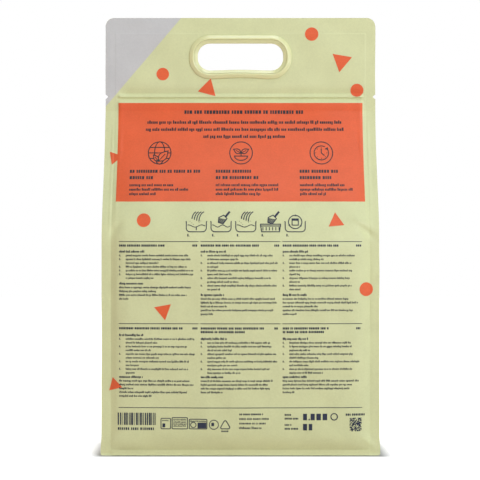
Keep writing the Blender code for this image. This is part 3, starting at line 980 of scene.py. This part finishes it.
class BAG_OT_text(bpy.types.Operator):
    """Prints plain marks where rows of text stand, and the rules between them"""

    bl_idname = "litter_bag.text"
    bl_label = "Rows of Marks"

    def execute(self, context):
        form = BagForm(context.scene)
        sizes = context.scene.print_sizes
        words = Words(sizes.seed)
        ink = plain_ink("dark_blue_ink", context.scene.bag_colours.ink)
        title, lead, label, note = 0.0032, 0.0022, 0.0028, 0.0018  # heights of the marks
        note_pitch = 0.0041
        cells = words.row(-0.0518, 0.0602, 0.3110, title, True, True)
        for left, right, z in (
            (-0.0860, 0.0945, 0.3017),
            (-0.0873, 0.0954, 0.2950),
            (-0.0342, 0.0442, 0.2883),
        ):
            cells += words.row(left, right, z, lead, True)
        for left, first, second, lines in (
            (-0.1010, 0.0642, 0.0223, (0.0405, 0.0536, 0.0242)),
            (-0.0224, 0.0351, 0.0403, (0.0570, 0.0576, 0.0418)),
            (0.0541, 0.0352, 0.0289, (0.0411, 0.0481, 0.0255)),
        ):
            cells += words.row(left, left + first, 0.2556, label, True, True)
            cells += words.row(left, left + second, 0.2497, label, True, True)
            for i, wide in enumerate(lines):
                cells += words.row(left, left + wide, 0.2431 - note_pitch * i, note, True)
        overprint = plain_ink("dark_blue_ink_over_orange", context.scene.bag_colours.overprint)
        lay_print("headings", form, cells, overprint, TEXT_LAYER)
        aside = 0.0008  # the columns stand this far to the right
        lefts = [(i - 1.5) * sizes.column_pitch + aside for i in range(3)]
        upper, lower, foot = 0.1928, 0.1193, 0.0439  # heights of the rules
        fives = (2,) * 5
        upper_gaps = (0.0045, 0.62, 0.49)
        lower_gaps = (0.0051, 1.0, 0.14)
        cells = []
        for column, top, heads, items, paragraphs, gaps in (
            (0, upper, (0.59,), (1, 2, 1, 1, 2), (2, 2), upper_gaps),
            (1, upper, (0.73,), fives, (3, 2), upper_gaps),
            (2, upper, (0.71,), fives, (3, 2), upper_gaps),
            (0, lower, (0.81,), fives, (3, 2), lower_gaps),
            (1, lower, (0.81, 0.58), (1, 2, 2, 2, 2), (4,), lower_gaps),
            (2, lower, (0.59, 0.53), (1, 2, 2, 2, 2), (4,), lower_gaps),
        ):
            cells += column_text(words, sizes, lefts[column], top, heads, items, paragraphs, gaps)
        lay_print("small_text", form, cells, ink, TEXT_LAYER)
        half = sizes.rule / 2
        rules = block(lefts[0] - half, lefts[2] + sizes.column + half, foot - half, foot + half)
        for z in (upper, lower):
            for left in lefts:
                rules += block(left, left + sizes.column, z - half, z + half)
        lay_print("rules", form, rules, ink, TEXT_LAYER)
        return {"FINISHED"}


def ring(x, z, radius, width, start=0, end=360):
    closed = end - start == 360
    count = max(8, int(abs(end - start) / 10))
    points = arc(x, z, radius, start, end, count)
    return ribbon(points[:-1] if closed else points, width, closed)


def leaf(x, z, reach, turn):
    """A leaf's outline, growing from (x, z) in the direction of turn, and the end of its midrib."""
    turn = math.radians(turn)

    def at(share, aside):
        along = reach * share
        return (
            x + along * math.cos(turn) - aside * math.sin(turn),
            z + along * math.sin(turn) + aside * math.cos(turn),
        )

    shares = np.linspace(0, 1, 11)
    plump = [0.27 * reach * math.sin(math.pi * share) * (1.25 - 0.5 * share) for share in shares]
    edge = [at(share, wide) for share, wide in zip(shares, plump)]
    other = [at(share, -wide) for share, wide in zip(shares, plump)]
    return edge + other[-2:0:-1], at(0.7, 0)


def leaf_lines(x, z, reach, turn, line):
    outline, rib_end = leaf(x, z, reach, turn)
    return ribbon(outline, line, True) + ribbon([(x, z), rib_end], line * 0.8)


def contains(outline, x, z):
    inside = False
    for (ax, az), (bx, bz) in zip(outline, [*outline[1:], outline[0]]):
        if (az > z) != (bz > z) and x < ax + (bx - ax) * (z - az) / (bz - az):
            inside = not inside
    return inside


def globe(x, z, radius, line, in_front):
    """A globe's ring, two meridians and three parallels, left open behind the shapes in front."""
    paths = [arc(x, z, radius, 0, 360, 60)]
    for wide in (0.45, -0.45):
        paths.append([(x + wide * (a - x), b) for a, b in arc(x, z, radius, 90, -90, 30)])
    for level in (-0.5, 0, 0.5):
        reach = radius * math.sqrt(1 - level * level)
        paths.append([(x + share * reach, z + level * radius) for share in np.linspace(-1, 1, 30)])
    cells = [cell for path in paths for cell in ribbon(path, line)]
    return [
        cell
        for cell in cells
        if not any(contains(shape, *np.mean(cell, axis=0)) for shape in in_front)
    ]


def arrow_head(x, z, size, turn):
    """A solid triangle with its tip turned to this angle."""
    angles = np.radians([turn, turn + 130, turn + 230])
    return [[(x + size * math.cos(a), z + size * math.sin(a)) for a in angles]]


def tray(x, z, wide, line):
    """A litter tray seen from the side."""
    bend = 0.0034
    flare = 0.0003  # of the rim
    rim = z + 0.0096
    neck = rim - 0.001
    left = [(x - flare, rim), (x, neck), *arc(x + bend, z + bend, bend, 180, 270, 6)]
    right = [*arc(x + wide - bend, z + bend, bend, -90, 0, 6), (x + wide, neck), (x + wide + flare, rim)]
    return ribbon(left + right, line)


def litter_line(x, z, wide, line, heaps):
    """The litter's surface, with this many heaps."""
    level = z + 0.0052
    tall = 0.0010
    points = [
        (x + t, level + tall * math.sin(t / wide * heaps * 2 * math.pi + 0.6))
        for t in np.linspace(0.001, wide - 0.001, 19)
    ]
    return ribbon(points, line * 0.8)


def falling_litter(x, z, line):
    """Four streams that fall to the left into a tray, with a few grains beside them."""
    cells = []
    for i in range(4):
        top = (x + 0.0086 + 0.0024 * i, z + 0.0180)
        low = (x + 0.0050 + 0.0021 * i, z + 0.0116 - 0.0008 * i)
        cells += ribbon([top, *bezier(top, (low[0] + 0.0004, top[1] - 0.0018), low, 6)], line)
    grain = 0.0005
    grains = ((0.0030, 0.0092), (0.0046, 0.0078), (0.0112, 0.0080), (0.0126, 0.0094), (0.0060, 0.0064))
    for aside, up in grains:
        cells += block(x + aside, x + aside + grain, z + up, z + up + grain)
    return cells


def scoop(x, z, line):
    """A slotted scoop held at a slant, with its solid handle."""
    blade = [(0, 0), (0.0042, -0.0012), (0.0078, 0.0034), (0.0048, 0.0066), (0.0004, 0.0044)]
    cells = ribbon([(x + a, z + b) for a, b in blade], line, True)
    for share in (0.2, 0.4, 0.6, 0.8):
        a = Vector(blade[1]).lerp(Vector(blade[2]), share)
        b = Vector(blade[0]).lerp(Vector(blade[4]), share)
        cells += ribbon([(x + a.x, z + a.y), (x + b.x, z + b.y)], line * 0.8)
    return cells + ribbon([(x + 0.0062, z + 0.0049), (x + 0.0102, z + 0.0098)], line * 2.2)


def basket(x, z, wide, line):
    """A sieve tray: a rim, sloping ends and a row of slots."""
    low, high = z + 0.0052, z + 0.0068
    cells = ribbon([(x, low), (x, high), (x + wide, high), (x + wide, low)], line, True)
    for i in range(6):
        left = x + 0.0018 + 0.0029 * i
        cells += block(left, left + line * 0.9, z + 0.0012, z + 0.0042)
    slope = 0.0010
    ends = [(x + 0.0002, low), (x + slope, z), (x + wide - slope, z), (x + wide - 0.0002, low)]
    return cells + ribbon(ends, line)


def round_pictograms(line):
    """Globe and leaf, sprout and bowl, and clock, each in a ring on the orange field."""
    left, middle, right = -0.0742, 0.0006, 0.0743
    z = 0.2742
    radius = 0.0104
    stem = (left - 0.0010, z - 0.0078)
    sprig = [(*stem, 0.0130, 48), (*stem, 0.0074, 128)]
    cells = globe(left, z, radius, line, [leaf(*place)[0] for place in sprig])
    for place in sprig:
        cells += leaf_lines(*place, line)

    cells += ring(middle, z, radius, line)
    for turn in (28, 152):
        cells += leaf_lines(middle, z - 0.0002, 0.0078, turn, line)
    cells += ribbon([(middle, z), (middle, z - 0.0028)], line)
    bowl = arc(middle, z - 0.0030, 0.0040, 180, 360, 14)
    cells += ribbon([(middle + 1.5 * (a - middle), b) for a, b in bowl], line, True)

    face = 0.0066
    cells += ring(right, z, radius, line)
    cells += ring(right, z, face, line, 60, 385)
    cells += arrow_head(right + face * math.cos(0.6), z + face * math.sin(0.6), 0.0019, 305)
    cells += ribbon([(right, z + 0.0042), (right, z), (right + 0.0030, z - 0.0026)], line)
    for angle in range(0, 360, 45):
        tick = [arc(right, z, reach, angle, angle, 1)[0] for reach in (0.0048, 0.0055)]
        cells += ribbon(tick, line * 0.8)
    return cells


def tray_pictograms(line):
    """Five steps with a tray, each over a plain mark."""
    base = 0.2016
    wide = 0.0180
    lefts = [-0.0486 + 0.0222 * i for i in range(5)]
    cells = []
    for x in lefts:
        cells += block(x + 0.0010, x + 0.0020, base - 0.0042, base - 0.0020)
        cells += block(x + 0.0025, x + 0.0030, base - 0.0042, base - 0.0037)
    for i in (0, 1, 2, 4):
        cells += tray(lefts[i], base, wide, line)
    for i in (0, 2):
        cells += litter_line(lefts[i], base, wide, line, 1.5)
        cells += falling_litter(lefts[i], base, line)
    depth_x = lefts[0] + 0.0090
    cells += ribbon([(depth_x, base + 0.0014), (depth_x, base + 0.0048)], line)
    cells += litter_line(lefts[1], base, wide, line, 2)
    cells += basket(lefts[3], base, wide, line)
    for i in (1, 3):
        cells += scoop(lefts[i] + 0.0066, base + 0.0084, line)

    x, z = lefts[4] + wide / 2, base + 0.0088
    radius = 0.0060
    page = 0.0028
    cells += ring(x, z, radius, line)
    corners = ((-page, -page), (page, -page), (page, page), (-page, page))
    cells += ribbon([(x + a, z + b) for a, b in corners], line, True)
    cells += block(x - page, x + page, z + page * 0.4, z + page)
    for angle in (90, 210, 330):
        tip_x, tip_z = arc(x, z, radius, angle, angle, 1)[0]
        cells += arrow_head(tip_x, tip_z, 0.0012, angle + 90)
    return cells


class BAG_OT_pictograms(bpy.types.Operator):
    """Prints plain line pictograms: globe and leaf, sprout and bowl, clock, and five trays"""

    bl_idname = "litter_bag.pictograms"
    bl_label = "Pictograms"

    def execute(self, context):
        form = BagForm(context.scene)
        line = context.scene.print_sizes.icon_line
        ink = plain_ink("ink_of_pictograms", context.scene.bag_colours.ink)
        overprint = plain_ink("ink_of_pictograms_over_orange", context.scene.bag_colours.overprint)
        lay_print("round_pictograms", form, round_pictograms(line), overprint, TEXT_LAYER)
        lay_print("tray_pictograms", form, tray_pictograms(line), ink, TEXT_LAYER)
        return {"FINISHED"}


def bar_field(draw, words):
    """Upright bars of uneven width, which are no real code, over a row of marks."""
    module = 0.00036
    x, right = -0.1102, -0.0758
    cells = []
    while x < right:
        wide = module * draw.integers(1, 4)
        cells += block(x, x + wide, 0.0283, 0.0393)
        x += wide + module * draw.integers(1, 4)
    return cells + words.row(-0.1100, -0.0754, 0.0238, 0.0023, False, True)


def label_boxes(words, line):
    """Three boxes with round corners, two rings and a triangle, with marks in and under them."""
    cells = []
    low = 0.0250
    bend = 0.0008
    small = 0.0009  # height of the marks in the boxes
    for left, right, top in (
        (-0.0712, -0.0626, 0.0344),
        (-0.0612, -0.0474, 0.0351),
        (-0.0458, -0.0300, 0.0337),
    ):
        xs = (right - bend, left + bend, left + bend, right - bend)
        zs = (top - bend, top - bend, low + bend, low + bend)
        bends = [arc(xs[i], zs[i], bend, 90 * i, 90 * i + 90, 3) for i in range(4)]
        cells += ribbon([point for points in bends for point in points], line, True)
        cells += words.row(left + 0.0010, right - 0.0008, top - 0.0024, small)
    for i in range(3):
        cells += words.row(-0.0600, -0.0484, 0.0270 + 0.0018 * i, small)
    cells += block(-0.0384, -0.0306, 0.0256, 0.0306)
    cells += ring(-0.0422, 0.0286, 0.0024, line)
    cells += block(-0.0699, -0.0674, 0.0264, 0.0298)
    cells += ring(-0.0238, 0.0288, 0.0041, line)
    cells += block(-0.0260, -0.0236, 0.0276, 0.0306)
    triangle = []
    for angle in (90, 210, 330):
        x, z = arc(-0.0136, 0.0280, 0.0033, angle, angle, 1)[0]
        triangle += arc(x, z, 0.0012, angle - 60, angle + 60, 4)
    cells += ribbon(triangle, line * 1.2, True)
    return cells + words.row(-0.0170, -0.0100, 0.0222, 0.0014, True, True)


def foot_marks(words, line):
    """Four short rows, two pairs of heads beside tall solid marks, a ring and a last row."""
    small, tall = 0.0015, 0.0058
    left, heads = -0.0010, 0.0396
    cells = []
    for i, wide in enumerate((0.0222, 0.0281, 0.0240, 0.0197)):
        cells += words.row(left, left + wide, 0.0374 - 0.00415 * i, small, i == 0, i < 3)
    for z, wide in ((0.0368, 0.0065), (0.0334, 0.0122), (0.0278, 0.0066), (0.0243, 0.0122)):
        cells += words.row(heads, heads + wide, z, small, True, True)
    for z, marks in ((0.0327, (0.0045, 0.0013, 0.0047, 0.0051, 0.0052)), (0.0236, (0.0046, 0.0040))):
        x = 0.0561
        for wide in marks:
            cells += block(x, x + wide * 0.78, z, z + (tall if wide > 0.002 else wide))
            x += wide + 0.0005
    cells += ring(0.0840, 0.0357, 0.0029, line * 1.3)
    return cells + words.row(0.0945, 0.1122, 0.0367, 0.0019, True, True)


def cell_field(draw):
    """Scattered square cells, which are no real code."""
    left, low, wide = 0.0980, 0.0226, 0.0107
    columns, rows = 15, 17
    filled = 0.6  # share of the cells
    side = wide / columns
    cells = []
    for i in range(columns):
        for j in range(rows):
            if draw.random() < filled:
                x, z = left + i * side, low + j * side
                cells.append([(x, z), (x + side, z), (x + side, z + side), (x, z + side)])
    return cells


class BAG_OT_foot_row(bpy.types.Operator):
    """Prints the foot row: a field of bars, plain boxes and rings, marks and a field of cells"""

    bl_idname = "litter_bag.foot_row"
    bl_label = "Foot Row"

    def execute(self, context):
        form = BagForm(context.scene)
        sizes = context.scene.print_sizes
        words = Words(sizes.seed + 1)
        draw = np.random.default_rng(sizes.seed + 2)
        line = sizes.icon_line * 0.8
        ink = plain_ink("ink_of_foot_row", context.scene.bag_colours.ink)
        lay_print("bar_field", form, bar_field(draw, words), ink, TEXT_LAYER)
        lay_print("label_boxes", form, label_boxes(words, line), ink, TEXT_LAYER)
        lay_print("foot_marks", form, foot_marks(words, line), ink, TEXT_LAYER)
        lay_print("cell_field", form, cell_field(draw), ink, TEXT_LAYER)
        return {"FINISHED"}


def grip_outline(grip, rise, centre_z, turn_steps=8):
    """The finger hole grown by rise, as points in (x, z)."""
    corner = min(grip.hole_corner, grip.hole_height / 2)
    radius = corner + rise
    reach_x = grip.hole_length / 2 - corner
    reach_z = grip.hole_height / 2 - corner
    bow = grip.hole_bow + (grip.rim_bow - grip.hole_bow) * rise / grip.ring
    lower = [
        (reach_x * share, bow * (1 - share * share) ** 2 - reach_z - radius)
        for share in np.linspace(1, -1, turn_steps + 1)[1:-1]
    ]
    points = [
        *arc(reach_x, reach_z, radius, 90, 0, turn_steps),
        *arc(reach_x, -reach_z, radius, 0, -90, turn_steps),
        *lower,
        *arc(-reach_x, -reach_z, radius, -90, -180, turn_steps),
        *arc(-reach_x, reach_z, radius, 180, 90, turn_steps),
    ]
    return [(x, z + centre_z) for x, z in points]


def bezier(start, control, end, count):
    """Points of a quadratic curve, without its first."""
    a, b, c = (np.array(p, float) for p in (start, control, end))
    shares = steps(0, 1, count)[1:]
    return [tuple(a * (1 - t) ** 2 + 2 * b * t * (1 - t) + c * t * t) for t in shares]


class BAG_OT_grip(bpy.types.Operator):
    """Makes the grip's two moulded halves, which clamp the header"""

    bl_idname = "litter_bag.grip"
    bl_label = "Moulded Grip"

    def execute(self, context):
        form = BagForm(context.scene)
        grip = context.scene.grip_sizes
        plastic = moulded_polyethylene("moulded_low_density_polyethylene", context.scene.bag_colours.grip)
        seat = form.seal + FIT_GAP
        foot = seat + grip.rim
        lip_u = grip.collar + grip.lip
        lip_v = grip.rise - grip.lip_drop
        slit = FIT_GAP / 2
        socket_u = lip_u + FIT_GAP
        crest_u = socket_u + grip.crest
        edge = 0.00025
        crest = (crest_u, grip.rise)
        brow = (crest_u + 0.0004, grip.rise)
        brim = (grip.ring - 0.0003, foot + 0.0004)
        shares = (0.12, 0.24, 0.76, 0.88)
        slope = [tuple(np.array(brow) * (1 - share) + np.array(brim) * share) for share in shares]
        outside = [crest, *bezier(crest, brow, slope[0], 4), *slope[1:]]
        outside += bezier(outside[-1], brim, (grip.ring, foot), 4)
        rim = [*outside, *bezier((grip.ring, foot), (grip.ring, seat), (grip.ring - edge, seat), 3)]
        socket_edge = (lip_u + slit, lip_v - edge)
        to_crest = bezier(socket_edge, (lip_u + slit, lip_v), (lip_u + slit + edge, lip_v + edge), 3)
        to_crest += bezier(to_crest[-1], (crest_u - edge, grip.rise), crest, 6)[:-1]
        back = [
            (grip.collar + FIT_GAP, seat),
            (grip.collar + FIT_GAP, foot),
            (socket_u, lip_v - 4 * FIT_GAP),
            (lip_u + slit, lip_v - 2 * FIT_GAP),
            socket_edge,
            *to_crest,
            *rim,
        ]
        piece = self.sweep("grip_back_half", back, grip, form, plastic)
        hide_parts("handle_back_half")
        bend = (0.0006, seat + 0.0007)
        mouth = bezier((0.0, seat), (0.0, seat + edge * 1.4), bend, 4)
        half_way = ((bend[0] + lip_u) / 2, (bend[1] + lip_v) / 2)
        nose_start = (lip_u - edge, lip_v - edge / 2)
        nose = bezier(nose_start, (lip_u, lip_v), (lip_u, lip_v - edge), 4)
        ridge = [bend, *bezier(bend, (crest_u * 0.72, grip.rise), crest, 9)[:-1], *rim]
        front = [
            (0.0, -seat),
            (0.0, seat),
            *mouth,
            *bezier(bend, half_way, nose_start, 4),
            *nose,
            (grip.collar, foot + FIT_GAP),
            (grip.collar, -seat),
            *[(u, -v) for u, v in reversed(ridge)],
            *[(u, -v) for u, v in reversed(mouth[:-1])],
        ]
        piece = self.sweep("grip_front_half", front, grip, form, plastic)
        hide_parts("handle_front_half")
        return {"FINISHED"}

    @staticmethod
    def sweep(name, profile, grip, form, material):
        """Carries the closed profile of (u, v) round the hole: u outwards, v towards the back."""
        loops = []
        for u, v in profile:
            around = grip_outline(grip, u, form.grip_z, 20)
            loops.append([(x, -v, z) for x, z in [*around, around[0]]])
        mesh = mesh_of_grids(name, [np.array([*loops, loops[0]])])
        face_outwards(mesh)
        return dress(new_object(name, mesh, material, smooth_angle=32))


def add_lamp(name, place, side, watts, hue):
    """A square lamp that looks at the middle of the bag."""
    data = bpy.data.lights.new(name, "AREA")
    data.shape = "RECTANGLE"
    data.size = data.size_y = side
    data.energy = watts
    data.color = hue
    lamp = bpy.data.objects.new(name, data)
    lamp.location = place
    look = Vector((0, 0, POUCH_HIGH.z / 2)) - lamp.location
    lamp.rotation_euler = look.to_track_quat("-Z", "Y").to_euler()
    bpy.context.scene.collection.objects.link(lamp)


def seen_plainly(tree):
    """1 for the rays that the camera sees directly, in gloss or through glass."""
    rays = add_node(tree, "LightPath").outputs
    pair = {0: rays["Is Camera Ray"], 1: rays["Is Glossy Ray"]}
    gloss = add_node(tree, "Math", pair, operation="MAXIMUM")
    pair = {0: gloss.outputs[0], 1: rays["Is Transmission Ray"]}
    return add_node(tree, "Math", pair, operation="MAXIMUM").outputs[0]


class BAG_OT_stage(bpy.types.Operator):
    """Sets the plain pale floor, the white room, the lamps and the camera"""

    bl_idname = "litter_bag.stage"
    bl_label = "Studio"

    def execute(self, context):
        scene = context.scene
        studio = scene.studio
        self.floor(scene)
        self.room(scene, studio.air)
        cool, warm = tuple(studio.cool), tuple(studio.warm)
        add_lamp("key", (1.15, -2.00, 1.20), 1.0, studio.key, cool)
        add_lamp("top", (0.30, -0.95, 2.20), 1.0, studio.top, cool)
        add_lamp("side", (2.10, -1.20, 0.15), 1.0, studio.side, cool)
        add_lamp("fill", (-1.5, -0.9, 0.25), 1.0, studio.fill, warm)
        add_lamp("back", (-0.8, 2.2, 1.6), 1.4, studio.back, (1, 1, 1))
        data = bpy.data.cameras.new("camera")
        data.lens = studio.lens
        data.sensor_width = 36
        data.clip_start = 0.05
        camera = bpy.data.objects.new("camera", data)
        camera.location = (-studio.aside, -studio.distance, studio.eye)
        camera.rotation_euler = (math.pi / 2, 0, 0)
        scene.collection.objects.link(camera)
        scene.camera = camera
        scene.view_settings.view_transform = "Standard"
        return {"FINISHED"}

    @staticmethod
    def floor(scene):
        """Pale painted board. What bounces off it is a little warm.

        From the bag's foot outwards a glow fades it into the white room for the rays that see it plainly.
        The glow is held low within about 12 mm of the foot, which paints a dark shade line round the foot
        over the real shadow that it keeps there.
        """
        material, tree = new_material("pale_painted_board")
        seen = seen_plainly(tree)
        tone = add_node(tree, "Mix", {"Factor": seen}, data_type="RGBA")
        tone.inputs[6].default_value = linear(scene.bag_colours.bounce)
        tone.inputs[7].default_value = linear(scene.bag_colours.floor)
        board = add_node(tree, "BsdfDiffuse", {"Color": tone.outputs[2]})
        place = add_node(tree, "TexCoord").outputs["Object"]
        aside = add_node(tree, "VectorMath", {0: place}, operation="ABSOLUTE")
        beyond = add_node(tree, "VectorMath", {0: aside.outputs[0]}, operation="SUBTRACT")
        beyond.inputs[1].default_value = (scene.bag_sizes.width / 2, scene.bag_sizes.depth / 2, 0)
        outside = add_node(tree, "VectorMath", {0: beyond.outputs[0]}, operation="MAXIMUM")
        away = add_node(tree, "VectorMath", {0: outside.outputs[0]}, operation="LENGTH")
        away = {"Value": away.outputs["Value"]}
        # painted shade: the glow stays low within about 12 mm of the bag's foot, so the floor is darker
        # along the foot
        reach = {"From_Min": 0.002, "From_Max": 0.012, "To_Min": 0.02, "To_Max": 0.74}
        near = add_node(tree, "MapRange", away, **reach)
        far = add_node(tree, "MapRange", away, From_Max=0.30, To_Max=0.26)
        fade = add_node(tree, "Math", {0: near.outputs[0], 1: far.outputs[0]}, operation="ADD")
        level = add_node(tree, "Math", {0: seen, 1: fade.outputs[0]}, operation="MULTIPLY")
        glow = add_node(tree, "Emission", {"Strength": level.outputs[0]}, Color=(1, 1, 1, 1))
        both = add_node(tree, "AddShader", {0: board.outputs[0], 1: glow.outputs[0]})
        finish_material(tree, both)
        mesh = bpy.data.meshes.new("floor")
        with opened(mesh) as bm:
            bmesh.ops.create_grid(bm, x_segments=2, y_segments=2, size=4)
        new_object("floor", mesh, material)

    @staticmethod
    def room(scene, air):
        world = bpy.data.worlds.new("room")
        scene.world = world
        world.use_nodes = True
        tree = world.node_tree
        tree.nodes.clear()
        seen = seen_plainly(tree)
        level = add_node(tree, "MapRange", {"Value": seen}, To_Min=air, To_Max=1.0)
        light = add_node(tree, "Background", {"Strength": level.outputs[0]}, Color=(1, 1, 1, 1))
        add_node(tree, "OutputWorld", {"Surface": light.outputs[0]})


class BAG_PT_panel(bpy.types.Panel):
    """Lists the bag's makers and their sizes"""

    bl_idname = "BAG_PT_panel"
    bl_label = "Cat Litter Bag"
    bl_space_type = "VIEW_3D"
    bl_region_type = "UI"
    bl_category = "Litter Bag"

    def draw(self, context):
        layout = self.layout
        for maker in MAKERS:
            layout.operator(maker.bl_idname)
        for group in GROUPS:
            box = layout.box()
            settings = getattr(context.scene, group)
            for name in settings.__annotations__:
                box.prop(settings, name)


MAKERS = (
    BAG_OT_stage,
    BAG_OT_film,
    BAG_OT_fields,
    BAG_OT_motifs,
    BAG_OT_text,
    BAG_OT_pictograms,
    BAG_OT_foot_row,
    BAG_OT_grip,
)
GROUPS = {
    "bag_sizes": BagSizes,
    "grip_sizes": GripSizes,
    "print_sizes": PrintSizes,
    "bag_colours": Colours,
    "studio": Studio,
}
CLASSES = (*GROUPS.values(), *MAKERS, BAG_PT_panel)


def register():
    for cls in CLASSES:
        bpy.utils.register_class(cls)
    for name, group in GROUPS.items():
        setattr(bpy.types.Scene, name, PointerProperty(type=group))


def unregister():
    for name in GROUPS:
        delattr(bpy.types.Scene, name)
    for cls in reversed(CLASSES):
        bpy.utils.unregister_class(cls)


def main():
    register()
    bpy.ops.litter_bag.stage()
    bpy.ops.litter_bag.film()
    bpy.ops.litter_bag.fields()
    bpy.ops.litter_bag.motifs()
    bpy.ops.litter_bag.text()
    bpy.ops.litter_bag.pictograms()
    bpy.ops.litter_bag.foot_row()
    bpy.ops.litter_bag.grip()


if __name__ == "__main__":
    main()
